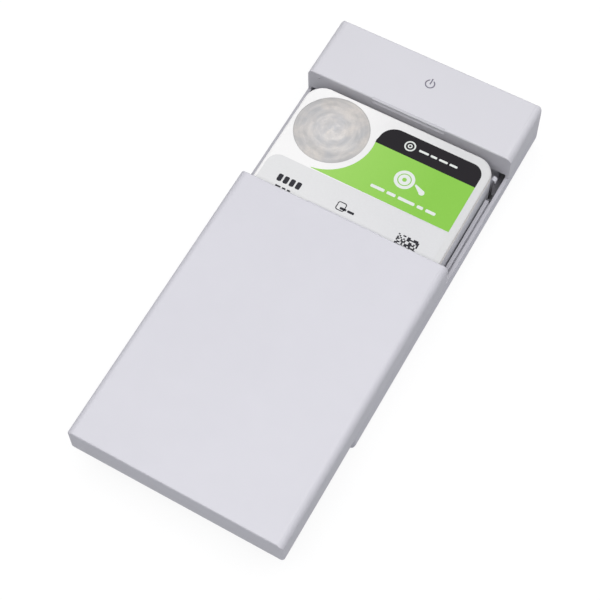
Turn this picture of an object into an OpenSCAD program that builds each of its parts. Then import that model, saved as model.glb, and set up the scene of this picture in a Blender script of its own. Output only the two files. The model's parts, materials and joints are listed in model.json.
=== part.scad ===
// Desktop external drive: a flat plastic enclosure whose cover slides off along its tray,
// and the sealed 3.5-inch disk drive that sits in the tray and plugs into its bridge board.
// Millimetres, +Z up, the ports face +Y. The origin is the centre of the closed enclosure's
// flat underside, and the feet reach below it. The resting pose has the cover drawn part of
// the way off.

/* [Enclosure] */
// Width of the enclosure
shell_w = 112; // [112:0.5:116]
// Length of the enclosure with its cover closed
shell_l = 191.6; // [191.6:0.2:196]
// Height of the enclosure above its feet
shell_h = 33; // [32.8:0.2:35]
// Thickness of the plastic walls
wall_t = 1.8; // [1.7:0.05:1.8]
// Length of the fixed head block that holds the electronics
head_len = 35; // [35:0.5:38]
// Radius along the two long upper edges
top_r = 4; // [3:0.5:5]
// Radius along the two long lower edges
bottom_r = 8; // [6.5:0.5:8]
// Radius of the upright corners
corner_r = 1.5; // [1:0.25:2]
// Radius along the upper edges across the enclosure's width
end_r = 0.9; // [0.5:0.1:1]
// Height of the cover's skirt below its top face
skirt_h = 16.9; // [16.5:0.1:17.5]
// How far the cover is drawn off in the resting pose
open_gap = 66.3; // [20:0.1:80]
// Height of the rubber feet below the shell
foot_h = 1; // [0.8:0.1:1.5]
// Diameter of the rubber feet
foot_d = 10; // [8:0.5:11]

/* [Disk drive] */
// How far the drive's top lies below the enclosure's top
drive_drop = 4; // [3.8:0.1:4.2]
// Gap between the head block and the drive's back edge
drive_gap = 2.4; // [2.2:0.1:2.6]
// Corner radius of the drive in plan
drive_r = 10; // [8:0.5:11]
// Number of platters
platter_count = 10; // [6:1:10]
// Radius of the bare metal window in the drive's label
window_r = 19.1; // [15:0.1:20]

/* [Controls and ports] */
// Diameter of the power button at the back
button_d = 7; // [5:0.5:8]
// Travel of the power button
button_travel = 0.8; // [0.4:0.1:1]
// Mean radius of the power symbol's ring
icon_r = 2.3; // [2:0.1:2.6]
// Diameter of the power jack's hole
jack_d = 6.4; // [6.2:0.1:6.6]

/* [Hidden] */

$fn = 64;
eps = 0.1;                        // overlap that joins two solids of one piece
seam = 0.1;                       // gap between two shells that meet
slip = 0.05;                      // gap between a pin or plug and its own hole
big = 400;

// Enclosure planes
half_w = shell_w / 2;
in_half = half_w - wall_t;
shell_z0 = 0;
shell_z1 = shell_h;
floor_z = shell_z0 + wall_t;
ceiling_z = shell_z1 - wall_t;
part_z = shell_z1 - skirt_h;      // plane where the cover's skirt ends
y_front = -shell_l / 2;
y_back = shell_l / 2;
head_y = y_back - head_len;       // front wall of the head block
rear_in = y_back - wall_t;

// Drive envelope
drive_w = 101.85;
drive_l = 147;
drive_h = 26.1;
dz1 = shell_z1 - drive_drop;
dz0 = dz1 - drive_h;
dy1 = head_y - drive_gap;
dy0 = dy1 - drive_l;
dhx = drive_w / 2;

// Guide rails of the tray and the tongues of the cover that run in them
rail_x0 = dhx + 0.65;             // inner face of a rail
rail_lip_x = in_half - 0.75;      // outer face of the rail's lip
rail_web_x = rail_lip_x - 0.8;    // outer face of the rail below its lip
rail_z1 = part_z + 0.5;
lip_t = 0.9;
rail_y1 = head_y - 16;
tongue_x0 = rail_lip_x + 0.12;
tongue_x1 = in_half - 0.12;
hook_x0 = rail_web_x + 0.2;
hook_z1 = rail_z1 - lip_t - 0.2;
hook_t = 0.8;
groove_z = hook_z1 - hook_t - 0.2; // bottom of the groove beside a rail
shelf_t = 1;                      // thickness of the tray below that groove

// Wedge-shaped slot of the head's front wall and the catch of the cover that enters it.
// The depths are measured down from the enclosure's top.
slot_w = 40;
slot_deep = 1.3;
slot_top = 1.5;
slot_ramp = 1.9;
slot_foot = 3.9;
slot_chamfer = 1;
catch_out = 1;
low_end_r = 2.5;                  // radius along the lower edges of the tray's ends

// Electronics of the head block
sata_x = 20.7;
sata_z = dz0 + 4.3;
sata_half = 18;
board_z1 = sata_z - 2.2;
board_t = 1.6;
board_z0 = board_z1 - board_t;
board_x = 40;
board_y0 = head_y + 4.5;
board_y1 = rear_in - 1.6;
icon_x = 1.4;
icon_y = head_y + 20.9;
icon_stroke = 0.5;
port_z = board_z1 + 6.3;
jack_x = 24;
usb_x = -20;
usb_z = board_z1 + 1.7;
plug_reach = 4.4;                 // how far the receptacle enters the drive

// Panel opening in the back wall
panel_x = 38;
panel_z0 = floor_z + 1;
panel_z1 = shell_z1 - 8;

// Screw places
head_screw_x = 46;
head_screw_y = [head_y + 6, y_back - 6];
stand_x = [-36, 36];
stand_y = [head_y + 14, y_back - 8];

// Drive interior, measured up from the drive's own base plane
pocket_z = dz0 + 2.3;             // underside of the casting over the circuit board
bay_z = dz0 + 4.1;                // floor of the platter bay
rim_z = dz0 + 24.1;               // top of the casting
lid_z = rim_z + 0.4;              // underside of the inner cover
platter_r = 47.5;
platter_t = 0.5;
pitch = 1.75;
stack_z = dz0 + 5.9;
stack_top = stack_z + (platter_count - 1) * pitch + platter_t;
hub_r = 12.45;
spindle_y = dy0 + 51;
bay_r = 48.3;
bay_half = 48.4;
bay_y0 = -6;
bay_y1 = dy1 - 2.5;
bay_step_y = dy1 - 12.4;
shaft_r = 2;
sleeve_r = 5;
post_r = 6.4;
well_r = 13.3;
well_z = dz0 + 1.2;

// Head actuator
pivot_x = -22;
pivot_y = spindle_y + 53.6;
park_a = -13.2;                   // direction of the parked arms
pivot_r = 2.5;
pivot_sleeve_r = 6;
block_r = 9;
arm_l = 34;
reach = 50;                       // pivot to read gap
gap_z = [for (j = [0:platter_count]) stack_z + j * pitch - (pitch - platter_t) / 2];
arm_t = 0.6;
susp_t = 0.08;
slider_t = 0.2;
coil_z = dz0 + 14.1;
coil_t = 2;
plate_t = 2;
magnet_t = 2;
magnet_gap = 4;
yoke_z0 = coil_z + coil_t / 2 - magnet_gap / 2 - magnet_t - plate_t;
yoke_z1 = yoke_z0 + 2 * plate_t + 2 * magnet_t + magnet_gap;

// ---- Shared shapes ---------------------------------------------------------------

// Upright section of the shell: flat sides, small radii above, large radii below
module shell_section(half, z0, z1, low, high) {
    mid = (z0 + z1) / 2;
    translate([-half, z0 + low])
        square([2 * half, z1 - z0 - low - high]);
    translate([-half + low, z0])
        square([2 * (half - low), mid - z0]);
    translate([-half + high, mid])
        square([2 * (half - high), z1 - mid]);
    for (s = [-1, 1]) {
        translate([s * (half - low), z0 + low])
            circle(r = low);
        translate([s * (half - high), z1 - high])
            circle(r = high);
    }
}

// Rectangle in plan from corner to corner with round corners
module round_plan(x0, y0, x1, y1, r) {
    translate([x0 + r, y0])
        square([x1 - x0 - 2 * r, y1 - y0]);
    translate([x0, y0 + r])
        square([x1 - x0, y1 - y0 - 2 * r]);
    for (x = [x0 + r, x1 - r], y = [y0 + r, y1 - r])
        translate([x, y])
            circle(r = r);
}

// Runs an X-Z outline along Y from y0 to y1
module along_y(y0, y1) {
    translate([0, y1, 0])
        rotate([90, 0, 0])
            linear_extrude(y1 - y0)
                children();
}

// Box from corner to corner
module span(a, b) {
    translate(a)
        cube(b - a);
}

// Runs a Y-Z outline along X between two places
module along_x(x0, x1) {
    translate([x0, 0, 0])
        rotate([90, 0, 90])
            linear_extrude(x1 - x0)
                children();
}

module mirror_x() {
    children();
    mirror([1, 0, 0])
        children();
}

// The enclosure's outer body between two heights
module outer_body(y0, y1, z0, z1) {
    intersection() {
        along_y(y_front, y_back)
            shell_section(half_w, shell_z0, shell_z1, bottom_r, top_r);
        translate([0, 0, z0])
            linear_extrude(z1 - z0)
                round_plan(-half_w, y_front, half_w, y_back, corner_r);
        along_x(-big, big)
            translate([(y0 + y1) / 2, 0])
                shell_section((y1 - y0) / 2, shell_z0, shell_z1, low_end_r, end_r);
    }
}

// The space inside the walls
module inner_body(y0, y1) {
    along_y(y0, y1)
        shell_section(in_half, floor_z, ceiling_z, bottom_r - wall_t, top_r - wall_t);
}

// Ring section between two radii
module tube(r0, r1, h) {
    difference() {
        cylinder(r = r1, h = h);
        translate([0, 0, -eps])
            cylinder(r = r0, h = h + 2 * eps);
    }
}

// Screw pointing down from z = 0, with its head above and a six-sided socket
module screw(head_d, head_t, shank_d, l) {
    difference() {
        union() {
            cylinder(d = head_d, h = head_t);
            translate([0, 0, -l])
                cylinder(d = shank_d, h = l + eps);
        }
        translate([0, 0, head_t / 2])
            cylinder(d = head_d * 0.45, h = head_t, $fn = 6);
    }
}

module at_head_screws() {
    mirror_x()
        for (y = head_screw_y)
            translate([head_screw_x, y, 0])
                children();
}

module at_standoffs() {
    for (x = stand_x, y = stand_y)
        translate([x, y, 0])
            children();
}

// ---- Enclosure -------------------------------------------------------------------

head_screw_d = 2.6;
head_screw_seat = shell_z0 + 2.6; // where the screw's head bears
boss_d = 7;
boss_split_z = part_z - 6;

// Guide rail with its outward lip, as an X-Z outline
module rail_section() {
    translate([rail_x0, floor_z + 0.9])
        square([rail_web_x - rail_x0, rail_z1 - floor_z - 0.9]);
    translate([rail_x0, rail_z1 - lip_t])
        square([rail_lip_x - rail_x0, lip_t]);
    translate([rail_x0, groove_z - shelf_t])
        square([in_half + eps - rail_x0, shelf_t]);
}

module base_tray() color("#cfced4") {
    difference() {
        union() {
            difference() {
                outer_body(y_front, y_back, shell_z0, part_z - seam);
                inner_body(y_front + wall_t, rear_in);
            }
            mirror_x() {
                along_y(y_front + wall_t + 0.3, rail_y1)
                    rail_section();
                span([clip_x0 - seam, clip_y - 2.5, floor_z], [clip_x1, clip_y + 2.5, clip_z0]);
            }
            at_head_screws()
                translate([0, 0, floor_z - eps])
                    cylinder(d = boss_d, h = boss_split_z - floor_z + eps);
            at_standoffs()
                translate([0, 0, floor_z - eps])
                    cylinder(d = 5, h = board_z0 - floor_z + eps);
        }
        // grooves run out through the end wall so that the cover can leave
        mirror_x()
            span([hook_x0 - 0.2, y_front - eps, groove_z],
                [in_half, y_front + wall_t + eps, part_z]);
        // opening for the rear panel
        span([-panel_x, rear_in - eps, panel_z0], [panel_x, y_back + eps, part_z]);
        at_head_screws() {
            translate([0, 0, -eps])
                cylinder(d = 5.4, h = head_screw_seat + eps);
            cylinder(d = head_screw_d + 0.4, h = boss_split_z + eps);
        }
        at_standoffs()
            translate([0, 0, floor_z - 0.6])
                cylinder(d = 2 + 2 * slip, h = 10);
    }
}

// Power symbol as an X-Y outline: an open ring with a bar through the opening
module power_symbol(grow) {
    half = icon_stroke / 2 + grow;
    opening = 2.2;
    bar_l = 3.4;
    bar_y = -0.1;
    difference() {
        circle(r = icon_r + half);
        circle(r = icon_r - half);
        translate([-opening / 2 + grow, 0])
            square([opening - 2 * grow, icon_r * 2]);
    }
    translate([-half, bar_y - grow])
        square([2 * half, bar_l + 2 * grow]);
}

// Slot and thumb chamfer as a Y-Z outline from the head's front upper edge
module slot_outline() {
    polygon([[-eps, -slot_top], [slot_deep, -slot_top], [slot_deep, -slot_ramp], [0, -slot_foot],
        [-eps, -slot_foot]]);
    polygon([[-eps, -slot_chamfer - eps], [-eps, eps], [slot_chamfer + eps, eps]]);
}

// Catch as a Y-Z outline from the cover's rear upper edge
module catch_outline() {
    polygon([[-3, -slot_top - 0.2], [catch_out, -slot_top - 0.2], [catch_out, -slot_ramp - 0.3],
        [0, -slot_foot + 0.3], [-3, -slot_foot + 0.3]]);
}

pipe_d = 9.6;
skin_t = 0.9;

module head_cover() color("#dad9e1") {
    difference() {
        union() {
            difference() {
                outer_body(head_y, y_back, part_z, shell_z1);
                inner_body(head_y + wall_t, rear_in);
            }
            at_head_screws()
                translate([0, 0, boss_split_z + seam])
                    cylinder(d = boss_d, h = ceiling_z - boss_split_z);
        }
        // the front wall ends above the tray's walls and leaves room for the drive's connector
        span([-in_half, head_y - eps, part_z - eps], [in_half, head_y + wall_t + eps, part_z + 2.2]);
        along_x(-slot_w / 2, slot_w / 2)
            translate([head_y, shell_z1])
                slot_outline();
        // small moulded pinhole near the left end of the front wall
        translate([-49.5, head_y - eps, shell_z1 - 4])
            rotate([-90, 0, 0])
                cylinder(d = 0.9, h = 0.9);
        span([-panel_x, rear_in - eps, part_z - eps], [panel_x, y_back + eps, panel_z1]);
        translate([icon_x, icon_y + 0.8, ceiling_z - 2])
            cylinder(d = pipe_d + 2 * slip, h = 2 + wall_t - skin_t);
        translate([icon_x, icon_y, ceiling_z])
            linear_extrude(wall_t + eps)
                power_symbol(slip);
        at_head_screws()
            cylinder(d = head_screw_d - 0.3, h = part_z + 4);
    }
}

module sliding_cover() color("#dfdee4") {
    y1 = head_y - 0.15;
    translate([0, -open_gap + 0.15, 0]) {
        difference() {
            outer_body(y_front, y1, part_z, shell_z1);
            inner_body(y_front + wall_t, y1 + eps);
        }
        // tongues that hook under the lips of the tray's rails
        mirror_x() {
            span([tongue_x0, y_front + 2, part_z + 1], [in_half + eps, y1 - 12, part_z + 4]);
            span([tongue_x0, y_front + 2, hook_z1 - hook_t], [tongue_x1, y1 - 12, part_z + 2]);
            span([hook_x0, y_front + 2, hook_z1 - hook_t], [tongue_x1, y1 - 12, hook_z1]);
        }
        // catch that clicks into the head's slot
        along_x(-slot_w / 2 + 0.5, slot_w / 2 - 0.5)
            translate([y1, shell_z1])
                catch_outline();
    }
}

module rear_panel() color("#c9c8cf") {
    difference() {
        union() {
            along_y(rear_in - eps, y_back)
                translate([-panel_x + seam, panel_z0 + seam])
                    square([2 * (panel_x - seam), panel_z1 - panel_z0 - 2 * seam]);
            along_y(rear_in - 1.2, rear_in - slip)
                translate([-panel_x - 1.2, panel_z0 - 0.8])
                    square([2 * (panel_x + 1.2), panel_z1 - panel_z0 + 1.6]);
        }
        translate([icon_x, y_back, port_z])
            rotate([90, 0, 0])
                translate([0, 0, -eps])
                    cylinder(d = button_d + 0.4, h = 6);
        translate([jack_x, y_back, port_z])
            rotate([90, 0, 0])
                translate([0, 0, -eps])
                    cylinder(d = jack_d + 2, h = 6);
        along_y(rear_in - 6, y_back + eps)
            usb_outline(0.25);
    }
}

// Light pipe that carries the lamp's light up to the power symbol in the head's top
module icon_light_pipe() color("#8f9095") {
    translate([icon_x, icon_y + 0.8, board_z1 + 1.2])
        cylinder(d = pipe_d - 3, h = ceiling_z - board_z1 - 1.2);
    translate([icon_x, icon_y + 0.8, ceiling_z - 1.5])
        cylinder(d = pipe_d, h = 1.5 + wall_t - skin_t - slip);
    translate([icon_x, icon_y, shell_z1 - skin_t - slip - eps])
        linear_extrude(skin_t + slip + eps)
            power_symbol(0);
}

button_out = button_travel + 0.4;  // how far the button stands out of the panel
switch_y1 = rear_in - 3.2;

module power_button() color("#3c3d42") {
    translate([icon_x, 0, port_z])
        rotate([-90, 0, 0]) {
            translate([0, 0, rear_in - 2.2])
                cylinder(d = button_d, h = wall_t + 2.2 + button_out);
            translate([0, 0, rear_in - 2.2])
                cylinder(d = button_d + 1.6, h = 2.2 - 1.2 - slip);
            // plunger that reaches into the switch
            translate([0, 0, switch_y1 - 1.6])
                cylinder(d = 3, h = rear_in - 1.8 - switch_y1 + 1.6);
        }
}

module power_switch() color("#2b2b2e") {
    difference() {
        span([icon_x - 4, switch_y1 - 4.7, board_z1], [icon_x + 4, switch_y1 - 0.2, port_z + 4]);
        translate([icon_x, switch_y1 - 3, port_z])
            rotate([-90, 0, 0])
                cylinder(d = 3.1, h = 8);
    }
}

module bridge_board() color("#2f5d46") {
    difference() {
        span([-board_x, board_y0, board_z0], [board_x, board_y1, board_z1]);
        at_standoffs()
            translate([0, 0, board_z0 - eps])
                cylinder(d = 2.4, h = board_t + 2 * eps);
    }
}

chip_t = 1;
bridge_chip_places = [[-8, 12, 9, 9], [9, 14, 5, 6], [-24, 13, 5, 4], [28, 12, 6, 5]];

// Controller, converter and memory chips of the bridge board: x, y from its edge, w, l
module bridge_chips() color("#26262a") {
    for (c = bridge_chip_places)
        span([c[0] - c[2] / 2, board_y0 + c[1] - c[3] / 2, board_z1],
            [c[0] + c[2] / 2, board_y0 + c[1] + c[3] / 2, board_z1 + chip_t]);
}

module bridge_capacitors() color("#b9bcc2") {
    mirror_x()
        translate([35.8, board_y0 + 17, board_z1])
            cylinder(d = 6.3, h = 7);
    for (x = [-31, -26])
        span([x - 1.6, board_y0 + 3, board_z1], [x + 1.6, board_y0 + 6.2, board_z1 + 2]);
}

// Slots of a mating connector: signal part towards the middle, power part outside
sata_tongue_t = 1.2;
sata_parts = [[-15.6, -5.4], [-3.4, 16.6]];

module sata_receptacle() color("#1d1d20") {
    mouth_y = dy1 - plug_reach;
    difference() {
        span([sata_x - sata_half, mouth_y, sata_z - 2.2],
            [sata_x + sata_half, board_y0 + 5, sata_z + 2.1]);
        for (p = sata_parts)
            span([sata_x + p[0] - 0.2, mouth_y - eps, sata_z - sata_tongue_t / 2 - 0.1],
                [sata_x + p[1] + 0.2, mouth_y + plug_reach + 1, sata_z + sata_tongue_t / 2 + 0.1]);
    }
}

// Outline of the plug opening as an X-Z shape: a slot with round ends
module usb_outline(grow) {
    r = 1.6 + grow;
    straight = 5.8;
    translate([usb_x - straight / 2, usb_z - r])
        square([straight, 2 * r]);
    for (s = [-1, 1])
        translate([usb_x + s * straight / 2, usb_z])
            circle(r = r);
}

usb_y0 = rear_in - 6.5;

module usb_port_shell() color("#b7b9bd") {
    difference() {
        along_y(usb_y0, y_back - 0.3)
            usb_outline(0);
        along_y(usb_y0 + 0.8, y_back + eps)
            usb_outline(-0.32);
    }
}

module usb_port_tongue() color("#1f1f22") {
    span([usb_x - 3.35, usb_y0 + 0.8, usb_z - 0.35], [usb_x + 3.35, y_back - 1.2, usb_z + 0.35]);
}

jack_y0 = rear_in - 12;

module power_jack() color("#202024") {
    difference() {
        union() {
            span([jack_x - 4.5, jack_y0, board_z1], [jack_x + 4.5, rear_in - 1.3, port_z + 4.6]);
            translate([jack_x, rear_in - 2, port_z])
                rotate([-90, 0, 0])
                    cylinder(d = jack_d + 1.8, h = wall_t + 2);
        }
        translate([jack_x, jack_y0 + 2, port_z])
            rotate([-90, 0, 0])
                cylinder(d = jack_d, h = big);
    }
}

module power_jack_pin() color("#d9c27a") {
    translate([jack_x, jack_y0 + 2, port_z])
        rotate([-90, 0, 0])
            cylinder(d = 2, h = 10.5);
}

module status_led() color("#f2f2ee") {
    span([icon_x - 1.6, icon_y - 0.8, board_z1], [icon_x + 1.6, icon_y + 2.4, board_z1 + 1]);
}

module bridge_screws() color("#a9abb0") {
    at_standoffs()
        translate([0, 0, board_z1])
            screw(4, 1.2, 2, board_z1 - floor_z + 0.4);
}

module head_screws() color("#9a9ca1") {
    at_head_screws()
        translate([0, 0, head_screw_seat])
            mirror([0, 0, 1])
                screw(5, 1.8, head_screw_d - 0.3 - 2 * slip, part_z + 3 - head_screw_seat);
}

foot_places = [[40, y_back - 12], [40, y_front + 12]];

module rubber_feet() color("#4a4b50") {
    mirror_x()
        for (p = foot_places)
            translate([p[0], p[1], -foot_h])
                cylinder(d = foot_d, h = foot_h);
}

pad_places = [[45.4, dy1 - 22], [45.4, dy0 + 14]];
pad_d = 4.6;

module drive_pads() color("#5b5c62") {
    mirror_x()
        for (p = pad_places)
            translate([p[0], p[1], floor_z])
                cylinder(d = pad_d, h = dz0 - floor_z - slip);
}

clip_y = dy1 - 3.6;
clip_half = 1.2;                  // half of a finger's width
clip_t = 0.7;
clip_r = 1.3;                     // outer radius of the curled tip
clip_drop = 1.1;                  // length of the tip below the curl
clip_turn = drive_r - (dy1 - clip_y + clip_half);
clip_x0 = dhx - drive_r + sqrt(drive_r * drive_r - clip_turn * clip_turn) + 0.13;
clip_x1 = half_w - bottom_r / 2;  // the block that holds a finger ends inside the wall
clip_z0 = floor_z + 1;            // top of that block
clip_z = dz1 - 9;

// Sprung fingers beside the drive's back corners: foot, upright and curled tip
module drive_clips() color("#c4c4c8") {
    mirror_x() {
        span([clip_x0, clip_y - clip_half, clip_z0], [clip_x0 + clip_t, clip_y + clip_half, clip_z + eps]);
        span([clip_x0, clip_y - clip_half, clip_z0],
            [clip_x0 + 1.6, clip_y + clip_half, clip_z0 + clip_t]);
        span([clip_x0 + 2 * clip_r - clip_t, clip_y - clip_half, clip_z - clip_drop],
            [clip_x0 + 2 * clip_r, clip_y + clip_half, clip_z + eps]);
        translate([clip_x0 + clip_r, clip_y, clip_z])
            rotate([90, 0, 0])
                translate([0, 0, -clip_half])
                    difference() {
                        cylinder(r = clip_r, h = 2 * clip_half);
                        translate([0, 0, -eps])
                            cylinder(r = clip_r - clip_t, h = 2 * clip_half + 2 * eps);
                        translate([-big / 2, -big, -eps])
                            cube([big, big, 2 * clip_half + 2 * eps]);
                    }
    }
}

// ---- Disk drive: casting, covers and circuit board --------------------------------

pcb_half = 42.5;
pcb_y0 = -22;
pcb_z0 = dz0 + 0.3;
pcb_t = 1;
pcb_z1 = pcb_z0 + pcb_t;
motor_boss_r = 16.5;
lid_t = 0.6;
cover_plate_t = 0.3;
label_t = 0.2;
plate_z0 = dz1 - label_t - cover_plate_t;
lid_screws = [[44, dy0 + 7.4], [-44, dy0 + 7.4], [44, dy1 - 7], [-43.5, dy1 - 7], [4, dy1 - 6.4]];
board_screws = [[38.5, -16], [-38.5, -16], [-38.5, dy1 - 6], [0, dy1 - 24], [38.5, 16]];
sata_notch = sata_half + 0.4;

// The drive's outline in plan, drawn in by a margin
module drive_plan(inset) {
    round_plan(-dhx + inset, dy0 + inset, dhx - inset, dy1 - inset, drive_r - inset);
}

// Plan of the sealed bay: a round part for the platters, a square part for the actuator
module bay_plan() {
    translate([0, spindle_y])
        circle(r = bay_r, $fn = 128);
    round_plan(-bay_half, bay_y0, -0.5, bay_y1, 7.5);
    round_plan(-bay_half, bay_y0, bay_half, bay_step_y, 7.5);
}

module at_spindle(z) {
    translate([0, spindle_y, z])
        children();
}

module at_pivot(z) {
    translate([pivot_x, pivot_y, z])
        children();
}

// Places of the three yoke posts round the pivot
module at_yoke_posts(z) {
    for (p = [[28, 142], [28, 105], [20, 205]])
        at_pivot(z)
            rotate([0, 0, p[1]])
                translate([p[0], 0, 0])
                    children();
}

module drive_base() color("#b9bbbf") {
    difference() {
        union() {
            difference() {
                translate([0, 0, dz0])
                    linear_extrude(rim_z - dz0)
                        drive_plan(0);
                translate([0, 0, bay_z])
                    linear_extrude(big)
                        bay_plan();
                // pocket for the circuit board, left solid round the motor
                difference() {
                    span([-pcb_half - 0.4, pcb_y0 - 0.4, dz0 - eps], [pcb_half + 0.4, dy1 + eps, pocket_z]);
                    at_spindle(0)
                        cylinder(r = motor_boss_r, h = big);
                }
            }
            for (p = board_screws)
                translate([p[0], p[1], pcb_z1])
                    cylinder(d = 5, h = pocket_z - pcb_z1 + eps);
            translate([lid_screws[3][0], lid_screws[3][1], bay_z - eps])
                cylinder(r = 3.4, h = rim_z - bay_z + eps);
            at_pivot(bay_z - eps)
                cylinder(r = 5, h = 0.6 + eps);
            at_yoke_posts(bay_z - eps)
                cylinder(r = 3, h = yoke_z0 - bay_z + eps);
        }
        span([sata_x - sata_notch, dy1 - 9.5, dz0 - eps], [sata_x + sata_notch, dy1 + eps, sata_z + 2.5]);
        at_spindle(well_z)
            tube(post_r, well_r, big);
        at_spindle(well_z)
            cylinder(r = sleeve_r + 0.3, h = big);
        at_spindle(stack_z - 0.3)
            cylinder(r = well_r, h = big);
        at_spindle(dz0 + 0.4)
            cylinder(r = shaft_r + 0.02, h = 5);
        at_pivot(bay_z - 1.2)
            cylinder(r = pivot_r + 0.02, h = 5);
        for (p = lid_screws)
            translate([p[0], p[1], rim_z - 3.2])
                cylinder(d = 2.1, h = 4);
        for (p = board_screws)
            translate([p[0], p[1], pcb_z1 - eps])
                cylinder(d = 2.1, h = 2.2);
    }
    // motor post that carries the stator
    at_spindle(well_z - eps)
        tube(sleeve_r + 0.3, post_r, stack_z - 0.3 - well_z + eps);
}

module drive_seal() color("#2c2c2e") {
    translate([0, 0, rim_z])
        linear_extrude(lid_z - rim_z)
            difference() {
                drive_plan(1.5);
                drive_plan(2.3);
            }
}

module drive_inner_cover() color("#c3c5c9") {
    difference() {
        translate([0, 0, lid_z])
            linear_extrude(lid_t)
                drive_plan(1.5);
        for (p = lid_screws)
            translate([p[0], p[1], lid_z - eps])
                cylinder(d = 2.4, h = 2);
    }
}

module inner_cover_screws() color("#8d9096") {
    for (p = lid_screws)
        translate([p[0], p[1], lid_z + lid_t])
            screw(4, 0.45, 2, 3.6);
}

module drive_outer_cover() color("#d5d5d4") {
    translate([0, 0, plate_z0])
        linear_extrude(cover_plate_t)
            drive_plan(0.15);
    translate([0, 0, rim_z])
        linear_extrude(plate_z0 - rim_z + eps)
            difference() {
                drive_plan(0.15);
                drive_plan(1.35);
            }
}

window_x = -30;
window_y = head_y - 23.4;

module drive_label() color("#f4f4f6") {
    translate([0, 0, dz1 - label_t])
        linear_extrude(label_t)
            difference() {
                drive_plan(1);
                translate([window_x, window_y])
                    circle(r = window_r, $fn = 128);
            }
}

module drive_board() color("#1f4a38") {
    difference() {
        span([-pcb_half, pcb_y0, pcb_z0], [pcb_half, dy1 - 0.6, pcb_z1]);
        at_spindle(0)
            cylinder(r = motor_boss_r + 0.6, h = big);
        for (p = board_screws)
            translate([p[0], p[1], pcb_z0 - eps])
                cylinder(d = 2.4, h = 2);
    }
}

// Chips on the board's inner side: x, y, width, length
drive_chips = [[-12, 12, 14, 14], [14, 20, 10, 8], [-26, 30, 9, 12], [22, -6, 7, 7], [-30, 2, 6, 8]];

module drive_board_chips() color("#232327") {
    for (c = drive_chips)
        span([c[0] - c[2] / 2, c[1] - c[3] / 2, pcb_z1], [c[0] + c[2] / 2, c[1] + c[3] / 2, pcb_z1 + 0.7]);
}

module drive_board_screws() color("#8d9096") {
    for (p = board_screws)
        translate([p[0], p[1], pcb_z0])
            mirror([0, 0, 1])
                screw(4, 0.28, 2, 2.8);
}

module board_insulator() color("#3b3b40") {
    difference() {
        span([-pcb_half + 1, pcb_y0 + 1, pocket_z - 0.25], [pcb_half - 1, dy1 - 11, pocket_z - 0.05]);
        at_spindle(0)
            cylinder(r = motor_boss_r + 1.5, h = big);
        for (p = board_screws)
            translate([p[0], p[1], 0])
                cylinder(d = 7, h = big);
    }
}

module drive_sata_plug() color("#18181b") {
    mouth_y = dy1 - plug_reach - 0.2;
    span([sata_x - sata_notch + 0.2, dy1 - 9.3, pcb_z1], [sata_x + sata_notch - 0.2, mouth_y, sata_z + 2.3]);
    for (p = sata_parts)
        span([sata_x + p[0], mouth_y - eps, sata_z - sata_tongue_t / 2],
            [sata_x + p[1], dy1 - 0.5, sata_z + sata_tongue_t / 2]);
}

// ---- Disk drive: spindle motor and platters ----------------------------------------

slots = 9;
stator_z = dz0 + 2.7;
stator_t = 2.2;
tooth_w = 1.2;
hub_lift = 2;                     // underside of the hub above the drive's base plane

module spindle_shaft() color("#d7d9dc") {
    at_spindle(dz0 + 0.4)
        cylinder(r = shaft_r, h = lid_z - slip - dz0 - 0.4);
}

module stator_core() color("#7f8288") {
    at_spindle(stator_z) {
        tube(post_r + 0.03, post_r + 1.4, stator_t);
        for (i = [0:slots - 1])
            rotate([0, 0, i * 360 / slots]) {
                translate([post_r + 1.2, -tooth_w / 2, 0])
                    cube([9.6 - post_r - 1.2, tooth_w, stator_t]);
                translate([9.1, -1.4, 0])
                    cube([0.5, 2.8, stator_t]);
            }
    }
}

module stator_coils() color("#b8713c") {
    for (i = [0:slots - 1])
        at_spindle(0)
            rotate([0, 0, i * 360 / slots])
                difference() {
                    span([post_r + 1.45, -1.15, stator_z - 0.7], [9.05, 1.15, stator_z + stator_t + 0.7]);
                    span([0, -tooth_w / 2 - 0.02, stator_z - 0.02],
                        [12, tooth_w / 2 + 0.02, stator_z + stator_t + 0.02]);
                }
}

cup_r = 11.4;
cup_z1 = dz0 + 6.7;
flange_r = 15;

module clamp_screw_places() {
    for (i = [0:5])
        rotate([0, 0, i * 60])
            translate([8.5, 0, 0])
                children();
}

module spindle_hub() color("#c8cace") {
    z0 = dz0 + hub_lift;
    difference() {
        at_spindle(0)
            rotate_extrude($fn = 128)
                polygon([[sleeve_r + 0.02, cup_z1], [cup_r, cup_z1], [cup_r, z0], [cup_r + 1.2, z0],
                    [cup_r + 1.2, stack_z - 1], [flange_r, stack_z - 1], [flange_r, stack_z],
                    [hub_r, stack_z], [hub_r, stack_top], [sleeve_r + 0.02, stack_top]]);
        at_spindle(stack_top - 4.6)
            clamp_screw_places()
                cylinder(d = 1.6, h = 10);
    }
}

module spindle_sleeve() color("#c9a866") {
    at_spindle(dz0 + hub_lift + 0.1)
        tube(shaft_r + 0.02, sleeve_r, stack_top - dz0 - hub_lift - 0.2);
}

module motor_magnet() color("#5d6068") {
    at_spindle(dz0 + 2.3)
        tube(10.1, cup_r - 0.03, cup_z1 - dz0 - 2.4);
}

module platters() color("#e3e4e6") {
    for (k = [0:platter_count - 1])
        at_spindle(stack_z + k * pitch)
            tube(hub_r + slip, platter_r, platter_t, $fn = 128);
}

module platter_spacers() color("#a7aaaf") {
    for (k = [0:platter_count - 2])
        at_spindle(stack_z + k * pitch + platter_t)
            tube(hub_r + slip, flange_r, pitch - platter_t, $fn = 128);
}

clamp_t = 1.1;

module disc_clamp() color("#cdcfd3") {
    difference() {
        at_spindle(stack_top)
            tube(3, flange_r + 0.5, clamp_t);
        at_spindle(stack_top - eps)
            clamp_screw_places()
                cylinder(d = 1.8, h = 2);
    }
}

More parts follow.
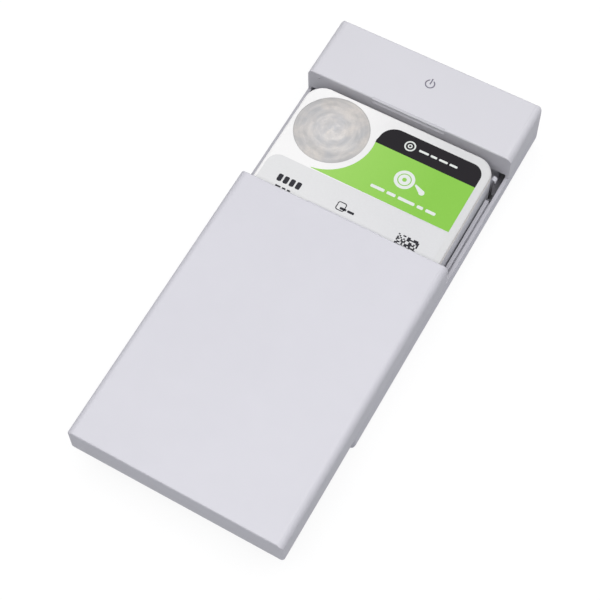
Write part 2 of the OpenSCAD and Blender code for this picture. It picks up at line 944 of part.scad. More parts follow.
module clamp_screws() color("#85888e") {
    at_spindle(stack_top + clamp_t)
        clamp_screw_places()
            screw(3.2, 0.8, 1.5, 4.6);
}

// ---- Disk drive: head actuator -------------------------------------------------------

// Part of a ring between two directions, in plan
module wedge(r0, r1, a0, a1) {
    mid = (a0 + a1) / 2;
    far = 3 * r1;
    difference() {
        intersection() {
            circle(r = r1, $fn = 128);
            polygon([[0, 0], [far * cos(a0), far * sin(a0)], [far * cos(mid), far * sin(mid)],
                [far * cos(a1), far * sin(a1)]]);
        }
        circle(r = r0, $fn = 128);
    }
}

module pivot_shaft() color("#d7d9dc") {
    at_pivot(bay_z - 1.2)
        cylinder(r = pivot_r, h = lid_z - slip - bay_z + 1.2);
}

block_z0 = gap_z[0] - arm_t / 2;
block_z1 = gap_z[platter_count] + arm_t / 2;

module pivot_sleeve() color("#aeb1b6") {
    at_pivot(block_z0)
        tube(pivot_r + 0.05, pivot_sleeve_r, block_z1 - block_z0 + 0.3);
}

coil_r0 = 11;
coil_r1 = 24;
coil_a = 20;                      // half of the angle that the coil spans
fork_a = 25;

module actuator_arm() color("#bfc2c7") {
    at_pivot(0)
        rotate([0, 0, park_a])
            difference() {
                union() {
                    translate([0, 0, block_z0])
                        cylinder(r = block_r, h = block_z1 - block_z0);
                    for (z = gap_z)
                        translate([0, 0, z - arm_t / 2])
                            linear_extrude(arm_t)
                                difference() {
                                    union() {
                                        polygon([[5, -6.4], [arm_l, -2.6], [arm_l, 2.6], [5, 6.4]]);
                                        translate([arm_l, 0])
                                            circle(r = 2.6);
                                    }
                                    translate([20, 0])
                                        circle(r = 1.8);
                                }
                    // fork that carries the coil
                    translate([0, 0, coil_z])
                        linear_extrude(coil_t) {
                            wedge(block_r - 1, coil_r1, 180 - fork_a, 180 - coil_a - 0.2);
                            wedge(block_r - 1, coil_r1, 180 + coil_a + 0.2, 180 + fork_a);
                            wedge(block_r - 1, coil_r0 - 0.1, 180 - fork_a, 180 + fork_a);
                        }
                }
                cylinder(r = pivot_sleeve_r + 0.02, h = big);
            }
}

module voice_coil() color("#b8713c") {
    at_pivot(coil_z)
        rotate([0, 0, park_a + 180])
            linear_extrude(coil_t)
                difference() {
                    wedge(coil_r0, coil_r1, -coil_a, coil_a);
                    wedge(coil_r0 + 3.2, coil_r1 - 3.2, -coil_a + 9, coil_a - 9);
                }
}

// Which sides of an arm carry a head: both inside the stack, one at either end
function head_sides(j) = j == 0 ? [1] : j == platter_count ? [-1] : [-1, 1];

// Draws children once per head, lifted from the arm's middle and mirrored underneath
module at_heads() {
    at_pivot(0)
        rotate([0, 0, park_a])
            for (j = [0:platter_count], s = head_sides(j))
                translate([0, 0, gap_z[j]])
                    mirror([0, 0, (1 - s) / 2])
                        children();
}

module head_suspensions() color("#d0b878") {
    at_heads()
        translate([0, 0, arm_t / 2])
            linear_extrude(susp_t)
                polygon([[arm_l - 3, -2], [reach + 0.6, -0.6], [reach + 0.6, 0.6], [arm_l - 3, 2]]);
}

module head_sliders() color("#2e2f33") {
    at_heads()
        span([reach - 1.2, -0.5, arm_t / 2 + susp_t], [reach, 0.5, arm_t / 2 + susp_t + slider_t]);
}

module preamp_chip() color("#26262a") {
    at_pivot(0)
        rotate([0, 0, 90])
            span([block_r, -2, coil_z - 2], [block_r + 0.8, 2, coil_z + 2]);
}

// Plan of the magnet yoke round the pivot
module yoke_plan() {
    intersection() {
        translate([pivot_x, pivot_y])
            wedge(10.6, 30, 98, 212);
        translate([-bay_half + 0.8, bay_y0 + 1])
            square([bay_half, bay_y1 - bay_y0 - 2]);
    }
}

module magnet_plate_lower() color("#a3a6ab") {
    translate([0, 0, yoke_z0])
        linear_extrude(plate_t)
            yoke_plan();
}

module magnet_plate_upper() color("#a3a6ab") {
    translate([0, 0, yoke_z1 - plate_t])
        linear_extrude(plate_t)
            yoke_plan();
}

module voice_magnets() color("#6a6d74") {
    for (z = [yoke_z0 + plate_t, yoke_z1 - plate_t - magnet_t])
        at_pivot(z)
            linear_extrude(magnet_t)
                wedge(11.5, 25.2, 108, 190);
}

module magnet_posts() color("#c2c4c8") {
    at_yoke_posts(yoke_z0 + plate_t)
        cylinder(r = 2, h = yoke_z1 - yoke_z0 - 2 * plate_t);
}

module crash_stops() color("#303034") {
    for (a = [102, 196.7])
        at_pivot(yoke_z0 + plate_t)
            rotate([0, 0, a])
                translate([22, 0, 0])
                    cylinder(r = 1.5, h = yoke_z1 - yoke_z0 - 2 * plate_t);
}

// Comb beside the platters: one finger level with each platter
module parking_ramp() color("#e6e2d6") {
    difference() {
        at_pivot(0)
            rotate([0, 0, park_a]) {
                span([reach + 1.4, -3, bay_z], [reach + 6, 3, stack_top + 0.6]);
                for (k = [0:platter_count - 1])
                    span([reach - 2.2, -1.2, stack_z + k * pitch + 0.05],
                        [reach + 1.5, 1.2, stack_z + k * pitch + platter_t - 0.05]);
            }
        at_spindle(0)
            cylinder(r = platter_r + 0.5, h = big, $fn = 128);
    }
}

flex_w = 6;
flex_r = 8;

module flex_cable() color("#b5722e") {
    translate([-5, 25 + pivot_y - 16, coil_z - 2])
        linear_extrude(flex_w)
            wedge(flex_r - 0.08, flex_r + 0.08, 40, 210);
}

module flex_bracket() color("#9b9ea4") {
    span([1.25, 24, bay_z], [9, 36, coil_z + 5]);
}

module recirculation_filter() color("#ececea") {
    span([40, 12, bay_z], [46, 26, bay_z + 13]);
}

module desiccant_pack() color("#f2f1ec") {
    span([20, bay_step_y - 10, bay_z], [42, bay_step_y - 1, bay_z + 10]);
}

base_tray();
head_cover();
sliding_cover();
rear_panel();
icon_light_pipe();
power_button();
power_switch();
bridge_board();
bridge_chips();
bridge_capacitors();
sata_receptacle();
usb_port_shell();
usb_port_tongue();
power_jack();
power_jack_pin();
status_led();
bridge_screws();
head_screws();
rubber_feet();
drive_pads();
drive_clips();
drive_base();
drive_seal();
drive_inner_cover();
inner_cover_screws();
drive_outer_cover();
drive_label();
drive_board();
drive_board_chips();
drive_board_screws();
board_insulator();
drive_sata_plug();
spindle_shaft();
stator_core();
stator_coils();
spindle_hub();
spindle_sleeve();
motor_magnet();
platters();
platter_spacers();
disc_clamp();
clamp_screws();
pivot_shaft();
pivot_sleeve();
actuator_arm();
voice_coil();
head_suspensions();
head_sliders();
preamp_chip();
magnet_plate_lower();
magnet_plate_upper();
voice_magnets();
magnet_posts();
crash_stops();
parking_ramp();
flex_cable();
flex_bracket();
recirculation_filter();
desiccant_pack();
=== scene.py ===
"""Desktop external drive with a sliding cover: the looks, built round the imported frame.

Metres throughout, in the frame's own axes: +Y points at the head block and its ports.
"""
import json
import math
import random

import bmesh
import bpy
from mathutils import Matrix, Vector


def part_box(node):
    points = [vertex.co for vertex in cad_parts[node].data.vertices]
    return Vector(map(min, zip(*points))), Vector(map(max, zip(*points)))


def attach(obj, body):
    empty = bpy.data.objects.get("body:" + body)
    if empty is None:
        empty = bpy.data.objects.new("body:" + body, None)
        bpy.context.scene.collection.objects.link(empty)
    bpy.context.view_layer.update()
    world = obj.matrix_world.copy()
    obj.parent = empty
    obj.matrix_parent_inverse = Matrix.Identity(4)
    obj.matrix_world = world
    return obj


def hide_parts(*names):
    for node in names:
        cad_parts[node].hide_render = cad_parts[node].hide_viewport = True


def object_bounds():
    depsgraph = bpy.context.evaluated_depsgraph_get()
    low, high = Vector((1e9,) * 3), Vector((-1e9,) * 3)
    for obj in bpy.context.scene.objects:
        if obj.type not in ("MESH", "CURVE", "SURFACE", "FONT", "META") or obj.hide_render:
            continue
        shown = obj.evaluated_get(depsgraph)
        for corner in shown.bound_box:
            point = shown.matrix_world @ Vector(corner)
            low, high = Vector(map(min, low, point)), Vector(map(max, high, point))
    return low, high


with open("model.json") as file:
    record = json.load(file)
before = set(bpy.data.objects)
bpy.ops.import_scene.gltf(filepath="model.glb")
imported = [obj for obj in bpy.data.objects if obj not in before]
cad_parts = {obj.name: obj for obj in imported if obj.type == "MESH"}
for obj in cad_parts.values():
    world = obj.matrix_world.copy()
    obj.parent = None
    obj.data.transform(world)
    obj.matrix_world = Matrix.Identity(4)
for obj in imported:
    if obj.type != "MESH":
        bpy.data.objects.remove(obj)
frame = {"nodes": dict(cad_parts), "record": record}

MM = 0.001
cad_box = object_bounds()
scene = bpy.context.scene


# ---- Places worked out from the frame ------------------------------------------------

metal_lo, metal_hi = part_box("drive_outer_cover")
film_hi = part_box("drive_label")[1]
spindle_lo, spindle_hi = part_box("spindle_shaft")
spindle_axis = (spindle_lo + spindle_hi) / 2

LABEL_TOP = film_hi.z
DRIVE_MID_X = (metal_lo.x + metal_hi.x) / 2
DRIVE_BACK = film_hi.y                   # the label's edge nearest the head block
PLAN_R = 9.85 * MM                       # corner radius of the metal cover in plan
FILLET_R = 1.1 * MM                      # soft upper edge of the metal cover
WINDOW_R = 19.05 * MM
WINDOW_C = Vector((DRIVE_MID_X - 29.5 * MM, DRIVE_BACK - 20.25 * MM))


# ---- Node trees -------------------------------------------------------------------------

def srgb(r, g, b):
    """Linear colour from 0-255 screen values."""
    def lin(v):
        v /= 255
        return v / 12.92 if v <= 0.04045 else ((v + 0.055) / 1.055) ** 2.4
    return (lin(r), lin(g), lin(b), 1.0)


def shade(colour, k):
    """The colour made darker or lighter by the factor k."""
    return tuple(min(1.0, c * k) for c in colour[:3]) + (1.0,)


class Shader:
    """A node tree under construction. Methods add a node and return its output socket."""

    def __init__(self, name):
        self.material = bpy.data.materials.new(name)
        self.material.use_nodes = True
        self.nodes = self.material.node_tree.nodes
        self.links = self.material.node_tree.links
        self.nodes.clear()
        self.surface = self.nodes.new("ShaderNodeBsdfPrincipled")
        self.output = self.nodes.new("ShaderNodeOutputMaterial")
        self.cover(self.surface.outputs[0])
        self.place = self.nodes.new("ShaderNodeTexCoord").outputs["Object"]

    def cover(self, shader):
        """Makes a shader the one that is seen."""
        self.links.new(shader, self.output.inputs[0])

    def put(self, node, key, value):
        """Links a socket to an input, or sets the input to a plain value."""
        socket = node.inputs[key]
        if isinstance(value, bpy.types.NodeSocket):
            self.links.new(value, socket)
        else:
            socket.default_value = value

    def add(self, kind, inputs, out=0, **settings):
        """A node with its inputs and settings; returns one of its outputs."""
        node = self.nodes.new(kind)
        for key, value in settings.items():
            setattr(node, key, value)
        for key, value in inputs.items():
            self.put(node, key, value)
        return node.outputs[out]

    def stretch(self, scale, offset=(0, 0, 0)):
        """The place, scaled per axis and moved."""
        return self.add("ShaderNodeMapping", {0: self.place, "Location": offset, "Scale": scale})

    def noise(self, scale, detail, rough, place=None, warp=0.0):
        """Cloudy values round 0.5, with about so many clouds to the metre."""
        return self.add("ShaderNodeTexNoise", {"Vector": place or self.place, "Scale": scale,
                        "Detail": detail, "Roughness": rough, "Distortion": warp})

    def cells(self, scale):
        """Distance from the nearest of many scattered points."""
        return self.add("ShaderNodeTexVoronoi", {"Vector": self.place, "Scale": scale})

    def wave(self, scale, axis, warp):
        """Even bands across an axis."""
        inputs = {"Vector": self.place, "Scale": scale, "Distortion": warp}
        return self.add("ShaderNodeTexWave", inputs, bands_direction=axis)

    def math(self, operation, a, b=0.0, clamp=False):
        """A sum with one or two values."""
        return self.add("ShaderNodeMath", {0: a, 1: b}, operation=operation, use_clamp=clamp)

    def span(self, value, low, high, to_low=0.0, to_high=1.0):
        """Maps low..high of a value to to_low..to_high, held at both ends."""
        return self.add("ShaderNodeMapRange", {0: value, 1: low, 2: high, 3: to_low, 4: to_high})

    def mix(self, factor, a, b, blend="MIX"):
        """Colour a at factor 0, and b laid over it at factor 1."""
        return self.add("ShaderNodeMix", {0: factor, 6: a, 7: b}, 2, data_type="RGBA",
                        blend_type=blend)

    def bump(self, height, distance, strength, base=None):
        """A normal raised and sunk by a height, on top of a base normal if there is one."""
        inputs = {"Height": height, "Distance": distance, "Strength": strength}
        if base is not None:
            inputs["Normal"] = base
        return self.add("ShaderNodeBump", inputs)

    def soft_edge(self, radius):
        """A normal that rolls round sharp edges."""
        return self.add("ShaderNodeBevel", {"Radius": radius}, samples=4)

    def edge_mask(self, radius):
        """1 along worn edges, 0 on flats."""
        gain = 6.0
        rolled = self.soft_edge(radius)
        true = self.add("ShaderNodeNewGeometry", {}, 1)
        facing = self.add("ShaderNodeVectorMath", {0: rolled, 1: true}, 1, operation="DOT_PRODUCT")
        return self.math("MULTIPLY", self.math("SUBTRACT", 1.0, facing), gain, clamp=True)

    def facing_up(self):
        """1 on faces that look up, 0 on upright ones and those that look down."""
        true = self.add("ShaderNodeNewGeometry", {}, 1)
        return self.span(self.add("ShaderNodeSeparateXYZ", {0: true}, 2), 0.3, 0.8)

    def radius_from(self, x, y):
        """Distance in plan from an upright axis."""
        shifted = self.add("ShaderNodeVectorMath", {0: self.place, 1: (x, y, 0)}, 0,
                           operation="SUBTRACT")
        flat = self.add("ShaderNodeVectorMath", {0: shifted, 1: (1, 1, 0)}, 0, operation="MULTIPLY")
        return self.add("ShaderNodeVectorMath", {0: flat}, 1, operation="LENGTH")

    def polar(self, x, y, per_metre, per_turn):
        """Place as distance and direction from an upright axis, for marks that follow circles."""
        parts = self.nodes.new("ShaderNodeSeparateXYZ")
        self.links.new(self.place, parts.inputs[0])
        across = self.math("SUBTRACT", parts.outputs[0], x)
        along = self.math("SUBTRACT", parts.outputs[1], y)
        turn = self.math("MULTIPLY", self.math("ARCTAN2", along, across), per_turn / (2 * math.pi))
        out = self.math("MULTIPLY", self.radius_from(x, y), per_metre)
        return self.add("ShaderNodeCombineXYZ", {0: out, 1: turn})

    def finish(self, colour, rough, metal=0.0, normal=None, **extra):
        """Sets the surface and returns the material. Extra inputs go by name, with _ for spaces."""
        for key, value in {"Base Color": colour, "Roughness": rough, "Metallic": metal}.items():
            self.put(self.surface, key, value)
        if normal is not None:
            self.put(self.surface, "Normal", normal)
        for key, value in extra.items():
            self.put(self.surface, key.replace("_", " "), value)
        return self.material


# ---- Materials ------------------------------------------------------------------------------

def moulded(name, colour, rough=0.5, wear=1.06, edge=0.35 * MM, painted_shade_heights=None, top=1.0):
    """Satin injection-moulded plastic: spark-eroded grain, faint cloudiness, polished edges.

    wear: how much lighter the worn edges are.
    grime: heights between which the plastic goes from painted shade, nearly black, below, to its own
    colour above.
    top: painted shade: how much darker or lighter the faces that look up are painted.
    """
    grain = 0.28 * MM
    s = Shader(name)
    fine = s.noise(1 / grain, 2.0, 0.55)
    pits = s.cells(0.6 / grain)
    cloud = s.noise(22.0, 3.0, 0.5)
    flow = s.noise(9.0, 2.0, 0.5, place=s.stretch((1.0, 0.35, 1.0)), warp=0.6)
    tint = s.mix(s.span(cloud, 0.3, 0.7), shade(colour, 0.985), shade(colour, 1.012))
    tint = s.mix(s.span(flow, 0.45, 0.75, 0.0, 0.5), tint, shade(colour, 0.988))
    tint = s.mix(s.span(fine, 0.35, 0.65, 0.0, 0.35), tint, shade(colour, 0.97))
    worn = s.edge_mask(edge)
    tint = s.mix(s.math("MULTIPLY", worn, 0.4), tint, shade(colour, wear))
    if top != 1.0:
        # painted shade: the faces that look up are painted darker or lighter by the factor top
        tint = s.mix(s.facing_up(), tint, shade(colour, top))
    if painted_shade_heights:
        # painted shade: below these heights the plastic is painted nearly black
        up = s.add("ShaderNodeSeparateXYZ", {0: s.place}, 2)
        tint = s.mix(s.span(up, painted_shade_heights[0], painted_shade_heights[1], 0.9, 0.0), tint, shade(colour, 0.12))
    height = s.math("ADD", fine, s.math("MULTIPLY", pits, 0.5))
    gloss = s.span(s.noise(140.0, 2.0, 0.6), 0.3, 0.7, rough - 0.04, rough + 0.05)
    gloss = s.math("SUBTRACT", gloss, s.math("MULTIPLY", worn, 0.08))
    normal = s.bump(height, 0.006 * MM, 0.6, s.soft_edge(edge))
    return s.finish(tint, gloss, 0.0, normal, IOR=1.48)


def rubber(name, colour):
    """Matt rubber with dust in its pores."""
    s = Shader(name)
    pores = s.cells(2600.0)
    dust = s.noise(260.0, 4.0, 0.6)
    tint = s.mix(s.span(dust, 0.5, 0.75, 0.0, 0.35), colour, shade(colour, 2.2))
    normal = s.bump(pores, 0.05 * MM, 0.4, s.soft_edge(0.25 * MM))
    return s.finish(tint, s.span(dust, 0.3, 0.7, 0.72, 0.9), 0.0, normal)


def brushed(name, colour, rough, along="Y", fineness=3200.0):
    """Sheet metal with a drawn grain along an axis, and small stains."""
    edge = 0.12 * MM
    s = Shader(name)
    scale = {"X": (0.02, 1, 1), "Y": (1, 0.02, 1), "Z": (1, 1, 0.02)}[along]
    lines = s.noise(fineness, 3.0, 0.65, place=s.stretch(scale))
    stain = s.noise(120.0, 4.0, 0.6, warp=0.4)
    tint = s.mix(s.span(lines, 0.3, 0.7), shade(colour, 0.88), shade(colour, 1.08))
    tint = s.mix(s.span(stain, 0.5, 0.8, 0.0, 0.3), tint, shade(colour, 0.8))
    tint = s.mix(s.math("MULTIPLY", s.edge_mask(edge), 0.5), tint, shade(colour, 1.25))
    gloss = s.span(lines, 0.25, 0.75, rough - 0.08, rough + 0.12)
    normal = s.bump(lines, 0.004 * MM, 0.5, s.soft_edge(edge))
    return s.finish(tint, gloss, 1.0, normal)


def turned(name, colour, rough):
    """Lathe-turned metal: fine rings round the spindle's axis."""
    pitch = 0.16 * MM
    edge = 0.1 * MM
    s = Shader(name)
    radius = s.radius_from(spindle_axis.x, spindle_axis.y)
    rings = s.math("SINE", s.math("MULTIPLY", radius, 2 * math.pi / pitch))
    wobble = s.noise(700.0, 3.0, 0.6)
    tint = s.mix(s.span(wobble, 0.3, 0.7), shade(colour, 0.92), shade(colour, 1.05))
    tint = s.mix(s.math("MULTIPLY", s.edge_mask(edge), 0.5), tint, shade(colour, 1.2))
    gloss = s.span(wobble, 0.3, 0.7, rough - 0.05, rough + 0.08)
    normal = s.bump(rings, 0.003 * MM, 0.5, s.soft_edge(edge))
    return s.finish(tint, gloss, 1.0, normal)


def cast(name, colour):
    """Die-cast aluminium with a coarse skin, flow marks and brighter machined edges."""
    s = Shader(name)
    skin = s.noise(900.0, 5.0, 0.65)
    flow = s.noise(60.0, 3.0, 0.55, place=s.stretch((1, 0.3, 2.2)), warp=1.2)
    tint = s.mix(s.span(flow, 0.3, 0.7), shade(colour, 0.82), shade(colour, 1.06))
    tint = s.mix(s.span(skin, 0.55, 0.75, 0.0, 0.5), tint, shade(colour, 0.7))
    tint = s.mix(s.math("MULTIPLY", s.edge_mask(0.25 * MM), 0.6), tint, shade(colour, 1.2))
    normal = s.bump(skin, 0.03 * MM, 0.5, s.soft_edge(0.3 * MM))
    return s.finish(tint, s.span(skin, 0.3, 0.7, 0.42, 0.62), 0.4, normal)


def window_marks(s, tint, warm, cool):
    """What shows in the label's window: arcs of wear, a pressed ring, a painted sheen that makes the
    middle lighter, and a painted shadow of the label's cut edge along the rim.

    Returns the tint with the marks in it, the grit, and 1 along the pressed ring.
    """
    pressed_r = 11.6 * MM
    radius = s.radius_from(WINDOW_C.x, WINDOW_C.y)
    streaks = s.noise(1.0, 4.0, 0.6, place=s.polar(WINDOW_C.x, WINDOW_C.y, 260.0, 4.0))
    tint = s.mix(s.span(streaks, 0.5, 0.66, 0.0, 0.4), tint, shade(warm, 1.28))
    tint = s.mix(s.span(streaks, 0.34, 0.48, 0.42, 0.0), tint, shade(cool, 0.74))
    grit = s.noise(1500.0, 4.0, 0.7)
    tint = s.mix(s.span(grit, 0.4, 0.62, 0.0, 0.3), tint, shade(warm, 0.78))
    # painted sheen: the middle is painted lighter, fading towards the rim
    middle = s.span(radius, 2 * MM, 17 * MM, 1.2, 0.98)
    grey = s.add("ShaderNodeCombineColor", {0: middle, 1: middle, 2: middle})
    tint = s.mix(1.0, tint, grey, "MULTIPLY")
    off_ring = s.math("ABSOLUTE", s.math("SUBTRACT", radius, pressed_r))
    tint = s.mix(s.span(off_ring, 0.2 * MM, 1.4 * MM, 0.09, 0.0), tint, shade(warm, 1.25))
    # painted shadow of the label's cut edge: a darker line just inside the window's rim
    rim = s.span(radius, WINDOW_R - 0.7 * MM, WINDOW_R, 0.0, 0.35)
    tint = s.mix(rim, tint, shade(cool, 0.6))
    return tint, grit, s.span(off_ring, 0.0, 1.2 * MM, 1.0, 0.0)


def cover_metal(name, warm, cool):
    """Bare sheet of the drive's outer cover: cloudy, with fine scratches round the window, and its
    upright faces painted lighter as a painted highlight.
    """
    s = Shader(name)
    blotch = s.noise(52.0, 3.0, 0.55, place=s.stretch((1, 1, 1), offset=(0.31, 0.17, 0)), warp=1.2)
    clouds = s.noise(120.0, 5.0, 0.62, warp=1.0)
    radius = s.radius_from(WINDOW_C.x, WINDOW_C.y)
    drifted = s.math("ADD", radius, s.math("MULTIPLY", clouds, 5.0 * MM))
    circles = s.math("SINE", s.math("MULTIPLY", drifted, 2 * math.pi / (6.2 * MM)))
    scratches = s.math("SINE", s.math("MULTIPLY", drifted, 2 * math.pi / (0.55 * MM)))
    tint = s.mix(s.span(blotch, 0.42, 0.6), warm, cool)
    tint = s.mix(s.span(clouds, 0.42, 0.64, 0.0, 0.6), tint, shade(cool, 0.86))
    tint = s.mix(s.span(circles, -0.6, 1.0, 0.0, 0.16), tint, shade(warm, 1.15))
    tint, grit, pressed = window_marks(s, tint, warm, cool)
    # painted highlight: faces that don't look up are painted 1.45 times lighter than the warm colour
    tint = s.mix(s.facing_up(), shade(warm, 1.45), tint)
    normal = s.bump(scratches, 0.003 * MM, 0.4, s.bump(grit, 0.006 * MM, 0.4))
    normal = s.bump(pressed, 0.025 * MM, 0.6, normal)
    return s.finish(tint, s.span(clouds, 0.35, 0.65, 0.4, 0.52), 0.35, normal)


def film(name, colour, rough=0.34, right=None, sheen=0.25):
    """Printed polyester film: smooth, faintly rippled. Its colour may change towards +X, as a painted
    sheen that leaves the film lighter on the left.
    """
    s = Shader(name)
    ripple = s.noise(45.0, 2.0, 0.5)
    mottle = s.noise(1500.0, 3.0, 0.6)
    across = s.add("ShaderNodeSeparateXYZ", {0: s.place})
    # painted sheen: the colour fades from left to right across the label, lighter on the left
    painted_sheen_grade = s.span(across, DRIVE_MID_X - 25 * MM, DRIVE_MID_X + 30 * MM)
    ground = s.mix(painted_sheen_grade, colour, right or colour)
    tint = s.mix(s.span(mottle, 0.3, 0.7, 0.0, 0.035), ground, (0.0, 0.0, 0.0, 1.0))
    tint = s.mix(s.span(ripple, 0.35, 0.7, 0.0, 0.4), tint, ground)
    height = s.math("ADD", s.math("MULTIPLY", ripple, 6.0), mottle)
    normal = s.bump(height, 0.004 * MM, 0.35, s.soft_edge(0.08 * MM))
    gloss = s.span(mottle, 0.3, 0.7, rough - 0.03, rough + 0.06)
    return s.finish(tint, gloss, 0.0, normal, Specular_IOR_Level=sheen)


def circuit(name, mask, dark):
    """Solder mask over copper: traces on a grid, pads and vias."""
    s = Shader(name)
    grid = s.add("ShaderNodeTexBrick", {"Vector": s.stretch((420, 420, 420)), "Scale": 1.0,
                 "Mortar Size": 0.09, "Color1": (1, 1, 1, 1), "Color2": (0.3, 0.3, 0.3, 1),
                 "Mortar": (0, 0, 0, 1), "Brick Width": 1.7, "Row Height": 0.32})
    vias = s.cells(620.0)
    pads = s.span(vias, 0.1, 0.14, 1.0, 0.0)
    zone = s.span(s.noise(90.0, 2.0, 0.5), 0.47, 0.53)
    trace = s.math("MULTIPLY", s.math("SUBTRACT", 1.0, grid), zone, clamp=True)
    tint = s.mix(trace, mask, dark)
    tint = s.mix(s.math("MULTIPLY", pads, 0.8), tint, srgb(196, 176, 120))
    metal = s.math("MULTIPLY", pads, 0.7)
    normal = s.bump(s.math("ADD", trace, pads), 0.03 * MM, 0.5, s.soft_edge(0.08 * MM))
    return s.finish(tint, s.span(pads, 0, 1, 0.33, 0.25), metal, normal)


def epoxy(name, colour):
    """Moulded chip package with filler specks and a matt laser-marked top."""
    s = Shader(name)
    specks = s.cells(4200.0)
    haze = s.noise(350.0, 3.0, 0.6)
    tint = s.mix(s.span(specks, 0.0, 0.25, 0.5, 0.0), colour, shade(colour, 2.4))
    tint = s.mix(s.span(haze, 0.4, 0.7, 0.0, 0.4), tint, shade(colour, 1.6))
    normal = s.bump(specks, 0.02 * MM, 0.4, s.soft_edge(0.1 * MM))
    return s.finish(tint, s.span(haze, 0.3, 0.7, 0.5, 0.68), 0.0, normal)


def wound(name, colour):
    """Enamelled copper winding: one ridge for each turn of wire, round the spindle's axis."""
    turn = 0.21 * MM
    s = Shader(name)
    radius = s.radius_from(spindle_axis.x, spindle_axis.y)
    wires = s.math("SINE", s.math("MULTIPLY", radius, 2 * math.pi / turn))
    tone = s.noise(400.0, 3.0, 0.6)
    tint = s.mix(s.span(wires, -0.2, 0.9), shade(colour, 0.45), shade(colour, 1.1))
    tint = s.mix(s.span(tone, 0.4, 0.7, 0.0, 0.4), tint, shade(colour, 0.75))
    normal = s.bump(wires, 0.04 * MM, 0.7, s.soft_edge(0.1 * MM))
    return s.finish(tint, s.span(tone, 0.3, 0.7, 0.22, 0.36), 0.9, normal)


def mirror_disc(name, colour):
    """Platter: a mirror with the faintest turned texture and a duller band near the hub."""
    band_r = 17 * MM
    s = Shader(name)
    radius = s.radius_from(spindle_axis.x, spindle_axis.y)
    rings = s.math("SINE", s.math("MULTIPLY", radius, 2 * math.pi / (0.5 * MM)))
    off_band = s.math("ABSOLUTE", s.math("SUBTRACT", radius, band_r))
    band = s.span(off_band, 1.5 * MM, 2 * MM, 1.0, 0.0)
    haze = s.noise(80.0, 2.0, 0.5)
    tint = s.mix(s.math("MULTIPLY", band, 0.5), colour, shade(colour, 0.8))
    gloss = s.math("ADD", s.span(haze, 0.3, 0.7, 0.04, 0.08), s.math("MULTIPLY", band, 0.12))
    return s.finish(tint, gloss, 1.0, s.bump(rings, 0.0004 * MM, 0.3))


def woven(name, colour):
    """Filter cloth: over-and-under threads."""
    pitch = 0.35 * MM
    s = Shader(name)
    warp = s.wave(0.5 / pitch, axis="X", warp=0.3)
    weft = s.wave(0.5 / pitch, axis="Y", warp=0.3)
    rise = s.wave(0.5 / pitch, axis="Z", warp=0.3)
    threads = s.math("MULTIPLY", s.math("ADD", warp, rise), s.math("ADD", weft, rise))
    fluff = s.noise(1800.0, 4.0, 0.7)
    tint = s.mix(s.span(threads, 0.2, 2.0), shade(colour, 0.8), colour)
    tint = s.mix(s.span(fluff, 0.4, 0.7, 0.0, 0.3), tint, shade(colour, 0.9))
    return s.finish(tint, 0.9, 0.0, s.bump(threads, 0.08 * MM, 0.6), Sheen_Weight=0.3)


def glow_plastic(name, colour, rough):
    """Diffusing lamp plastic: cloudy, faintly see-through at the surface."""
    s = Shader(name)
    milk = s.noise(500.0, 3.0, 0.6)
    tint = s.mix(s.span(milk, 0.3, 0.7), shade(colour, 0.9), shade(colour, 1.08))
    normal = s.bump(milk, 0.01 * MM, 0.3, s.soft_edge(0.05 * MM))
    return s.finish(tint, s.span(milk, 0.3, 0.7, rough - 0.05, rough + 0.05), 0.0, normal,
                    Subsurface_Weight=0.1, Subsurface_Scale=0.5 * MM)


def ribbon(name, colour):
    """Polyimide flex: amber film over parallel copper traces."""
    s = Shader(name)
    traces = s.wave(420.0, axis="Z", warp=0.05)
    stain = s.noise(300.0, 3.0, 0.6)
    tint = s.mix(s.span(traces, 0.45, 0.55), colour, srgb(205, 140, 62))
    tint = s.mix(s.span(stain, 0.4, 0.7, 0.0, 0.3), tint, shade(colour, 0.7))
    return s.finish(tint, 0.28, 0.1, s.bump(traces, 0.03 * MM, 0.5), Coat_Weight=0.4)


def layered(name, colour):
    """Stamped steel laminations seen edge on."""
    s = Shader(name)
    sheets = s.wave(1 / (0.7 * MM), axis="Z", warp=0.02)
    rust = s.noise(500.0, 4.0, 0.6)
    tint = s.mix(s.span(sheets, 0.1, 0.5), shade(colour, 0.55), colour)
    tint = s.mix(s.span(rust, 0.5, 0.8, 0.0, 0.3), tint, shade(colour, 0.7))
    normal = s.bump(sheets, 0.03 * MM, 0.5, s.soft_edge(0.1 * MM))
    return s.finish(tint, s.span(rust, 0.3, 0.7, 0.3, 0.45), 1.0, normal)


